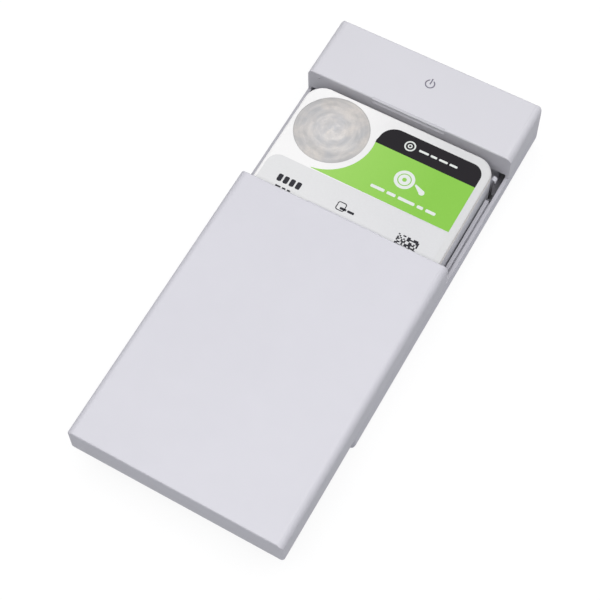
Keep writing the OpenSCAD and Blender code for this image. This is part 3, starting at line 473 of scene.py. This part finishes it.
PALETTE = {
    # the tray's upward faces are painted darker: painted shade
    "tray_plastic": moulded("tray_plastic", srgb(192, 191, 198), top=0.78),
    "head_plastic": moulded("head_plastic", srgb(194, 193, 198)),
    "cover_plastic": moulded("cover_plastic", srgb(193, 192, 198)),
    "panel_plastic": moulded("panel_plastic", srgb(180, 180, 187), 0.42),
    "icon_plastic": glow_plastic("icon_plastic", srgb(112, 110, 124), 0.35),
    "button_plastic": moulded("button_plastic", srgb(66, 67, 73), 0.45, wear=1.5, edge=0.25 * MM),
    "black_plastic": moulded("black_plastic", srgb(34, 34, 37), 0.5, wear=1.8, edge=0.12 * MM),
    # its lower part is painted dark: painted shade round the clip's shaft
    "clip_plastic": moulded("clip_plastic", srgb(192, 192, 197), 0.42, edge=0.15 * MM,
                            painted_shade_heights=(10 * MM, 20 * MM)),
    "board_green": circuit("board_green", srgb(36, 92, 62), srgb(22, 66, 44)),
    "chip_black": epoxy("chip_black", srgb(38, 38, 42)),
    "can_aluminium": brushed("can_aluminium", srgb(200, 202, 206), 0.3, "Z"),
    "port_steel": brushed("port_steel", srgb(190, 191, 196), 0.28, "Y"),
    "pin_brass": brushed("pin_brass", srgb(208, 180, 110), 0.25, "Y"),
    "lamp_plastic": glow_plastic("lamp_plastic", srgb(238, 238, 230), 0.25),
    "screw_steel": brushed("screw_steel", srgb(160, 162, 168), 0.35, "X"),
    "foot_rubber": rubber("foot_rubber", srgb(64, 65, 70)),
    "seal_rubber": rubber("seal_rubber", srgb(36, 36, 39)),
    "casting": cast("casting", srgb(208, 208, 212)),
    "sheet_aluminium": brushed("sheet_aluminium", srgb(198, 200, 205), 0.34),
    "cover_foil": cover_metal("cover_foil", srgb(191, 186, 181), srgb(171, 171, 173)),
    # painted sheen: the film is painted lighter to the left, darker towards +X
    "label_film": film("label_film", srgb(222, 221, 220), right=srgb(197, 197, 197)),
    "insulator_film": film("insulator_film", srgb(44, 44, 48), 0.4),
    "shaft_steel": turned("shaft_steel", srgb(205, 207, 211), 0.16),
    "core_steel": layered("core_steel", srgb(140, 143, 150)),
    "coil_copper": wound("coil_copper", srgb(190, 118, 66)),
    "magnet_nickel": brushed("magnet_nickel", srgb(150, 153, 160), 0.25, "X", 1400.0),
    "ramp_plastic": moulded("ramp_plastic", srgb(226, 220, 200), 0.4, edge=0.1 * MM),
    "flex_film": ribbon("flex_film", srgb(158, 96, 34)),
    "filter_cloth": woven("filter_cloth", srgb(232, 232, 226)),
    "hub_aluminium": turned("hub_aluminium", srgb(196, 198, 203), 0.28),
    "platter_mirror": mirror_disc("platter_mirror", srgb(228, 229, 232)),
    "spring_steel": brushed("spring_steel", srgb(206, 190, 146), 0.3, "X", 5000.0),
    "ceramic_dark": epoxy("ceramic_dark", srgb(52, 52, 56)),
}
INK_BLACK = film("ink_black", srgb(38, 36, 39), 0.42, sheen=0.04)
# painted sheen: the green and the grey are painted lighter to the left, darker towards +X
INK_GREEN = film("ink_green", srgb(146, 194, 93), 0.4, right=srgb(127, 183, 71), sheen=0.1)
INK_GREY = film("ink_grey", srgb(204, 204, 204), 0.36, right=srgb(199, 199, 200))
INK_WHITE = film("ink_white", srgb(206, 210, 206), 0.36)
INK_TEXT = film("ink_text", srgb(46, 46, 51), 0.42, sheen=0.08)


# ---- CAD nodes: finishes and softened edges --------------------------------------------------

SHARP_TURN = math.radians(38)            # an edge that turns by more than this is a real edge


def angle_tools():
    """Node group for CAD meshes: marks the edges that stay sharp after bevelling."""
    group = bpy.data.node_groups.new("keep_sharp", "GeometryNodeTree")
    group.interface.new_socket("Geometry", in_out="INPUT", socket_type="NodeSocketGeometry")
    group.interface.new_socket("Geometry", in_out="OUTPUT", socket_type="NodeSocketGeometry")
    start = group.nodes.new("NodeGroupInput")
    end = group.nodes.new("NodeGroupOutput")
    angle = group.nodes.new("GeometryNodeInputMeshEdgeAngle")
    compare = group.nodes.new("FunctionNodeCompare")
    compare.data_type = "FLOAT"
    compare.operation = "GREATER_THAN"
    compare.inputs[1].default_value = SHARP_TURN
    smooth = group.nodes.new("GeometryNodeSetShadeSmooth")
    smooth.domain = "EDGE"
    smooth.inputs["Shade Smooth"].default_value = False
    group.links.new(angle.outputs[0], compare.inputs[0])
    group.links.new(compare.outputs[0], smooth.inputs["Selection"])
    group.links.new(start.outputs[0], smooth.inputs["Geometry"])
    group.links.new(smooth.outputs[0], end.inputs[0])
    return group


KEEP_SHARP = angle_tools()

EDGE_WIDTH = {                           # real rounding of each node's edges, in mm
    "base_tray": 0.2, "sliding_cover": 0.2, "rear_panel": 0.25,
    "power_button": 0.3, "bridge_capacitors": 0.25, "rubber_feet": 0.3,
    "drive_pads": 0.2, "drive_clips": 0.12, "drive_base": 0.25, "usb_port_shell": 0.08,
    "power_jack": 0.12, "power_jack_pin": 0.25, "sata_receptacle": 0.15, "disc_clamp": 0.15,
    "spindle_hub": 0.12, "crash_stops": 0.2, "voice_magnets": 0.15, "bridge_chips": 0.08,
    "drive_board_chips": 0.06, "voice_coil": 0.25, "desiccant_pack": 0.6,
    "recirculation_filter": 0.4, "flex_bracket": 0.2, "head_cover": 0.2,
}


def finish_cad_node(name, obj, slot):
    """Gives a CAD node its material, merges its flat faces and rounds its edges."""
    for place in obj.material_slots:
        place.link = "OBJECT"
        place.material = PALETTE[slot]
    weld = obj.modifiers.new("weld", "WELD")
    weld.merge_threshold = 0.001 * MM
    merge = obj.modifiers.new("merge_flats", "DECIMATE")
    merge.decimate_type = "DISSOLVE"
    merge.angle_limit = math.radians(0.3)
    if name in EDGE_WIDTH:
        bevel = obj.modifiers.new("bevel", "BEVEL")
        bevel.width = EDGE_WIDTH[name] * MM
        bevel.segments = 3
        bevel.limit_method = "ANGLE"
        bevel.angle_limit = SHARP_TURN
        bevel.miter_outer = "MITER_ARC"
    sharp = obj.modifiers.new("sharp", "NODES")
    sharp.node_group = KEEP_SHARP
    normals = obj.modifiers.new("normals", "WEIGHTED_NORMAL")
    normals.keep_sharp = True


for part in frame["record"]["subparts"]:
    finish_cad_node(part["node"], frame["nodes"][part["node"]], part["material_slot"])


# ---- Mesh helpers ------------------------------------------------------------------------------

def arc(centre, radius, start, stop, steps=12):
    """Points round a circle from start to stop degrees, both included."""
    angles = [math.radians(start + (stop - start) * i / steps) for i in range(steps + 1)]
    return [Vector((centre[0] + radius * math.cos(a), centre[1] + radius * math.sin(a)))
            for a in angles]


def rounded_rect(x0, y0, x1, y1, radius, steps):
    """Anticlockwise outline with round corners."""
    corners = [(x1 - radius, y0 + radius, -90), (x1 - radius, y1 - radius, 0),
               (x0 + radius, y1 - radius, 90), (x0 + radius, y0 + radius, 180)]
    return [p for x, y, a in corners for p in arc((x, y), radius, a, a + 90, steps)]


def drive_outline(inset):
    """The metal cover's plan, drawn in by a margin."""
    return rounded_rect(metal_lo.x + inset, metal_lo.y + inset, metal_hi.x - inset,
                        metal_hi.y - inset, PLAN_R - inset, 12)


def ring_of(bm, outline, z):
    """New vertices round an outline, at one height."""
    return [bm.verts.new((p.x, p.y, z)) for p in outline]


def skin(bm, lower, upper):
    """Quads between two rings of equal length."""
    n = len(lower)
    for i in range(n):
        j = (i + 1) % n
        bm.faces.new((lower[i], lower[j], upper[j], upper[i]))


def add_piece(name, bm, material):
    """Turns a bmesh into a shown piece that rides on the drive."""
    bmesh.ops.recalc_face_normals(bm, faces=bm.faces)
    mesh = bpy.data.meshes.new(name)
    bm.to_mesh(mesh)
    bm.free()
    mesh.materials.append(material)
    obj = bpy.data.objects.new(name, mesh)
    scene.collection.objects.link(obj)
    mesh.shade_smooth()
    mesh.set_sharp_from_angle(angle=math.radians(35))  # rounded edges below it look smooth
    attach(obj, "drive")
    return obj


def add_slab(bm, outline, z0, z1):
    """Closed flat solid from an outline."""
    low = ring_of(bm, outline, z0)
    high = ring_of(bm, outline, z1)
    skin(bm, low, high)
    bm.faces.new(list(reversed(low)))
    bm.faces.new(high)


def add_band(bm, outer, inner, z0, z1):
    """Closed flat ring between two outlines of equal length."""
    rings = [ring_of(bm, o, z) for o, z in ((outer, z0), (outer, z1), (inner, z1), (inner, z0))]
    for a, b in zip(rings, rings[1:] + rings[:1]):
        skin(bm, a, b)


# ---- The drive's metal cover and its label --------------------------------------------------------

def fillet_drop(inset):
    """How far the soft upper edge has fallen at a distance in from the cover's side."""
    short = max(FILLET_R - inset, 0.0)
    return FILLET_R - math.sqrt(FILLET_R ** 2 - short ** 2)


def build_metal_cover():
    """Drawn sheet: an upright rim, a soft edge and a flat top, open underneath."""
    sheet = 0.3 * MM
    top = metal_hi.z
    rim = [(0.0, metal_lo.z), (0.0, top - FILLET_R)]
    steps = 7
    for i in range(1, steps + 1):
        a = math.radians(90 * i / steps)
        rim.append((FILLET_R * (1 - math.cos(a)), top - FILLET_R * (1 - math.sin(a))))
    bm = bmesh.new()
    outer = [ring_of(bm, drive_outline(inset), z) for inset, z in rim]
    inner_rim = [(sheet, metal_lo.z), (sheet, top - FILLET_R), (FILLET_R, top - sheet)]
    inner = [ring_of(bm, drive_outline(inset), z) for inset, z in inner_rim]
    for a, b in zip(outer, outer[1:]):
        skin(bm, a, b)
    for a, b in zip(inner, inner[1:]):
        skin(bm, b, a)
    skin(bm, inner[0], outer[0])
    bm.faces.new(outer[-1])
    bm.faces.new(list(reversed(inner[-1])))
    piece = add_piece("drive_metal_cover", bm, PALETTE["cover_foil"])
    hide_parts("drive_outer_cover")


def fill_between(bm, rim, hole, flip):
    """Flat face with a hole, as triangles."""
    edges = []
    for ring in (rim, hole):
        for a, b in zip(ring, ring[1:] + ring[:1]):
            edges.append(bm.edges.get((a, b)) or bm.edges.new((a, b)))
    made = bmesh.ops.triangle_fill(bm, edges=edges, use_beauty=True)["geom"]
    faces = [g for g in made if isinstance(g, bmesh.types.BMFace)]
    if flip:
        bmesh.ops.reverse_faces(bm, faces=faces)


def build_label():
    """Film that wraps a little way down the cover's soft edge, with a round window."""
    air = 0.01 * MM                      # between the film and the metal under it
    thick = LABEL_TOP - metal_hi.z - air
    edge_inset = 0.25 * MM
    steps = 5
    insets = [edge_inset + (FILLET_R - edge_inset) * i / steps for i in range(steps + 1)]
    heights = [LABEL_TOP - fillet_drop(inset) for inset in insets]
    hole = arc(WINDOW_C, WINDOW_R, 0, 360, 96)[:-1]
    bm = bmesh.new()
    tops = [ring_of(bm, drive_outline(inset), z) for inset, z in zip(insets, heights)]
    lows = [ring_of(bm, drive_outline(inset), z - thick) for inset, z in zip(insets, heights)]
    hole_top = ring_of(bm, hole, LABEL_TOP)
    hole_low = ring_of(bm, hole, LABEL_TOP - thick)
    for rings in (tops, lows):
        for a, b in zip(rings, rings[1:]):
            skin(bm, a, b)
    skin(bm, tops[0], lows[0])
    skin(bm, hole_top, hole_low)
    fill_between(bm, tops[-1], hole_top, False)
    fill_between(bm, lows[-1], hole_low, True)
    piece = add_piece("drive_label_film", bm, PALETTE["label_film"])
    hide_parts("drive_label")


build_metal_cover()
build_label()


# ---- Printed fields -----------------------------------------------------------------------------------
# Places on the label are in mm from the middle of its back edge: +x to the right, -y to the front.

LABEL_ORIGIN = Vector((DRIVE_MID_X, DRIVE_BACK))
INK_T = 0.02 * MM
MARK_Z0 = LABEL_TOP + 0.5 * INK_T        # the marks lie on the fields, which are one INK_T thick
MARK_Z1 = LABEL_TOP + 2 * INK_T
RING_C = WINDOW_C + Vector((-2.2, 0.85)) * MM
RING_R = 24.5 * MM                       # white ring round the window, cut out of the fields
FIELD_X1 = 46.6                          # right edge of the black and the green field
BAND_Y1 = -4.3                           # the black band, back edge and front edge
BAND_Y0 = -16.1
GREEN_Y0 = -44.0
GREEN_X0 = -28.0                         # the green field's left point


def at(x, y):
    """A place on the label as a place in plan."""
    return LABEL_ORIGIN + Vector((x, y)) * MM


def rounded_patch(x0, y0, x1, y1, radius, steps):
    """Outline of a rectangle with round corners, in the label's millimetres."""
    low, high = at(x0, y0), at(x1, y1)
    return rounded_rect(low.x, low.y, high.x, high.y, radius * MM, steps)


def circle_at(x, y, radius, steps):
    """Closed circle in the label's millimetres."""
    return arc(at(x, y), radius * MM, 0, 360, steps)[:-1]


def print_field(name, outline, ink):
    """One flat field of ink as its own piece."""
    bm = bmesh.new()
    add_slab(bm, outline, LABEL_TOP - 0.005 * MM, LABEL_TOP + INK_T)
    add_piece(name, bm, ink)


def ring_angle(y_mm):
    """Direction from the ring's centre, in degrees, to where the ring crosses the line y_mm."""
    return math.degrees(math.asin((at(0, y_mm).y - RING_C.y) / RING_R))


def print_black_band():
    """Band with a round right corner; its left end curves down and runs into the ring."""
    corner = 6.3
    left_r = 8.4
    left_x = 1.2                         # centre of the left curve
    left_end = BAND_Y1 - left_r - 2.0    # where that curve runs into the ring
    band = [at(FIELD_X1, BAND_Y0)]
    band += arc(at(FIELD_X1 - corner, BAND_Y1 - corner), corner * MM, 0, 90)
    band += arc(at(left_x, BAND_Y1 - left_r), left_r * MM, 90, 180)
    band += arc(RING_C, RING_R, ring_angle(left_end), ring_angle(BAND_Y0), 4)
    print_field("label_black_band", band, INK_BLACK)


def print_green_field():
    """Field under the band, cut away along the ring to a point on the left."""
    leaves_ring = -82                    # degrees, just short of the ring's lowest point
    green = [at(FIELD_X1, GREEN_Y0), at(FIELD_X1, BAND_Y0)]
    green += arc(RING_C, RING_R, ring_angle(BAND_Y0), leaves_ring, 40)
    green += [at(GREEN_X0, GREEN_Y0)]
    print_field("label_green_field", green, INK_GREEN)


def print_grey_field():
    """The large field for the small print, which the cover mostly hides."""
    grey = rounded_patch(-49.0, -140.5, FIELD_X1 + 0.5, GREEN_Y0 - 0.5, 6, 10)
    print_field("label_grey_field", grey, INK_GREY)


print_black_band()
print_green_field()
print_grey_field()


# ---- Generic marks in place of the label's lettering ---------------------------------------------------

def bars(bm, x, y, widths, high, gap):
    """Row of small round-cornered bars, each standing for a word, centred on the line y."""
    for width in widths:
        radius = min(width, high) * 0.3
        outline = rounded_patch(x, y - high / 2, x + width, y + high / 2, radius, 3)
        add_slab(bm, outline, MARK_Z0, MARK_Z1)
        x += width + gap


def hoop(bm, x, y, outer, stroke, steps=40):
    """Flat ring: its outer radius and the width of its line."""
    add_band(bm, circle_at(x, y, outer, steps), circle_at(x, y, outer - stroke, steps),
             MARK_Z0, MARK_Z1)


def pictogram(bm, x, y):
    """Plain picture of a disk: a platter with its hub, and an arm reaching over its edge."""
    hoop(bm, x, y, 5.2, 1.7, 48)
    hoop(bm, x, y, 3.0, 1.9, 48)
    pivot, tip = at(x + 10.5, y - 2.6), at(x + 6.3, y - 0.2)
    turn = math.degrees((tip - pivot).angle_signed(Vector((1, 0))))
    arm = arc(pivot, 1.5 * MM, turn + 60, turn + 300, 16)
    arm += arc(tip, 0.5 * MM, turn - 90, turn + 90, 8)
    add_slab(bm, arm, MARK_Z0, MARK_Z1)


def print_white_marks():
    """On the black band a badge and four bars; on the green field the picture and five bars."""
    bm = bmesh.new()
    hoop(bm, 8.6, -10.2, 2.9, 0.75)
    hoop(bm, 8.6, -10.2, 1.2, 0.6)
    bars(bm, 13.6, -10.3, [5.2, 3.4, 4.6, 4.1], high=1.2, gap=1.1)
    pictogram(bm, 15.0, -28.4)
    bars(bm, 2.0, -38.6, [7.4, 4.6, 8.8, 3.2, 5.2], high=1.7, gap=1.4)
    add_piece("label_white_marks", bm, INK_WHITE)


def dot_grid(bm, x, y, size, count, chance, rng):
    """Square patch of random cells; neighbours in a row merge into one bar."""
    cell = size / count
    for row in range(count):
        run = 0
        for column in range(count + 1):
            filled = column < count and rng.random() < chance
            if filled:
                run += 1
            elif run:
                left = at(x + (column - run) * cell, y - (row + 1) * cell)
                right = at(x + column * cell, y - row * cell)
                outline = [left, Vector((right.x, left.y)), right, Vector((left.x, right.y))]
                add_slab(bm, outline, MARK_Z0, MARK_Z1)
                run = 0


def random_row(bm, x, y, lengths, words, rng, high, gap):
    """Row of bars for a line of small print; lengths and words are the least and the most."""
    widths = [rng.uniform(*lengths) for _ in range(rng.randint(*words))]
    bars(bm, x, y, widths, high, gap)


def add_small_print(bm, rng):
    """Nine rows of small print, and below them two columns of smaller rows."""
    left = -38.4
    for row in range(9):
        y = -60.7 - 2.6 * row
        random_row(bm, left, y, (1.6, 6.0), (3, 5), rng, high=0.9, gap=0.8)
    for x, rows in ((left, 7), (-4.0, 9)):
        for row in range(rows):
            y = -92.0 - 2.4 * row
            random_row(bm, x, y, (1.4, 5.4), (2, 5), rng, high=0.8, gap=0.7)


def print_dark_marks():
    """On the grey field: four blocks, a small sign, two dot patches and rows of small print."""
    rng = random.Random(11)
    bm = bmesh.new()
    bars(bm, -39.6, -56.0, [2.5] * 4, high=4.2, gap=0.9)
    dot_grid(bm, 26.4, -55.4, 11.2, 14, 0.54, rng)
    sign = rounded_patch(-7.0, -58.6, -2.2, -53.6, 1.2, 5)
    add_band(bm, sign, rounded_patch(-6.5, -58.1, -2.7, -54.1, 0.8, 5), MARK_Z0, MARK_Z1)
    bars(bm, -4.8, -57.0, [3.4, 3.6], high=1.3, gap=0.6)
    add_small_print(bm, rng)
    dot_grid(bm, 28.0, -120.0, 9.0, 15, 0.5, rng)
    add_piece("label_dark_marks", bm, INK_TEXT)


print_white_marks()
print_dark_marks()


# ---- Floor, light and camera ---------------------------------------------------------------------------

SKY = 0.16                               # strength of the sky's light
SKY_TINT = (0.86, 0.88, 1.0, 1.0)
BELOW_HORIZON = 0.9                      # strength of the light from below the horizon
SOFTBOX_PLACE = (0.15, -0.2, 1.5)        # overhead, a little to the right and forward
SOFTBOX_SIDE = 2.4
SOFTBOX_POWER = 46.5
FLOOR_GLOW = 0.44                        # light the floor gives off to the object
FLOOR_GLOW_SEEN = 0.88                   # and to the camera, which keeps the shadows faint
WHITE = (1.0, 1.0, 1.0, 1.0)


def build_floor():
    """Pale paper floor that a camera below it looks through."""
    half = 4.0
    bm = bmesh.new()
    bmesh.ops.create_grid(bm, x_segments=8, y_segments=8, size=half)
    mesh = bpy.data.meshes.new("floor")
    bm.to_mesh(mesh)
    bm.free()
    floor = bpy.data.objects.new("floor", mesh)
    floor.location.z = cad_box[0].z
    scene.collection.objects.link(floor)
    s = Shader("floor_paper")
    seen = s.add("ShaderNodeLightPath", {})  # 1 for what the camera sees directly
    tint = s.mix(s.noise(30.0, 2.0, 0.5), srgb(136, 136, 136), srgb(138, 138, 138))
    tint = s.mix(seen, tint, srgb(96, 96, 96))
    glow = s.span(seen, 0.0, 1.0, FLOOR_GLOW, FLOOR_GLOW_SEEN)
    glow_tint = s.mix(seen, (0.93, 0.95, 1.0, 1.0), WHITE)
    s.finish(tint, 0.95, Emission_Color=glow_tint, Emission_Strength=glow, Specular_IOR_Level=0.0)
    from_below = s.add("ShaderNodeNewGeometry", {}, 6)
    clear = s.add("ShaderNodeBsdfTransparent", {})
    s.cover(s.add("ShaderNodeMixShader", {0: from_below, 1: s.surface.outputs[0], 2: clear}))
    mesh.materials.append(s.material)


def build_world():
    """Dim sky over the object, nearly white below the horizon, and plain white to the camera."""
    world = bpy.data.worlds.new("studio")
    world.use_nodes = True
    nodes, links = world.node_tree.nodes, world.node_tree.links
    backdrop = nodes["Background"]
    place = nodes.new("ShaderNodeTexCoord")
    height = nodes.new("ShaderNodeSeparateXYZ")
    blend = nodes.new("ShaderNodeMapRange")
    rays = nodes.new("ShaderNodeLightPath")
    strength = nodes.new("ShaderNodeMath")
    strength.operation = "MAXIMUM"
    blend.inputs["From Min"].default_value = -0.05
    blend.inputs["From Max"].default_value = 0.05
    blend.inputs["To Min"].default_value = BELOW_HORIZON
    blend.inputs["To Max"].default_value = SKY
    links.new(place.outputs["Generated"], height.inputs[0])
    links.new(height.outputs["Z"], blend.inputs["Value"])
    links.new(blend.outputs[0], strength.inputs[0])
    links.new(rays.outputs["Is Camera Ray"], strength.inputs[1])
    links.new(strength.outputs[0], backdrop.inputs["Strength"])
    tint = nodes.new("ShaderNodeMix")
    tint.data_type = "RGBA"
    tint.inputs[6].default_value = SKY_TINT
    tint.inputs[7].default_value = WHITE
    links.new(rays.outputs["Is Camera Ray"], tint.inputs[0])
    links.new(tint.outputs[2], backdrop.inputs["Color"])
    scene.world = world


def build_light():
    """One wide softbox that shines straight down."""
    data = bpy.data.lights.new("softbox_top", "AREA")
    data.shape = "SQUARE"
    data.size = SOFTBOX_SIDE
    data.energy = SOFTBOX_POWER
    lamp = bpy.data.objects.new("softbox_top", data)
    lamp.location = SOFTBOX_PLACE
    scene.collection.objects.link(lamp)


def build_camera():
    """Long lens, high on the right, rolled a little; the frame is shifted off the lens axis."""
    azimuth, elevation, roll = (math.radians(a) for a in (35.857, 62.207, -6.138))
    distance = 801.47 * MM
    target = Vector((-36.21, -49.95, 16.0)) * MM
    back = Vector((math.sin(azimuth) * math.cos(elevation),
                   -math.cos(azimuth) * math.cos(elevation), math.sin(elevation)))
    data = bpy.data.cameras.new("camera")
    data.lens = 100.22
    data.sensor_width = 36.0
    data.shift_x = 0.1139
    data.shift_y = -0.04375
    data.clip_start, data.clip_end = 0.05, 20.0
    camera = bpy.data.objects.new("camera", data)
    camera.location = target + back * distance
    turn = (-back).to_track_quat("-Z", "Y").to_matrix() @ Matrix.Rotation(roll, 3, "Z")
    camera.rotation_euler = turn.to_euler()
    scene.collection.objects.link(camera)
    scene.camera = camera


build_floor()
build_world()
build_light()
build_camera()
scene.view_settings.view_transform = "Standard"
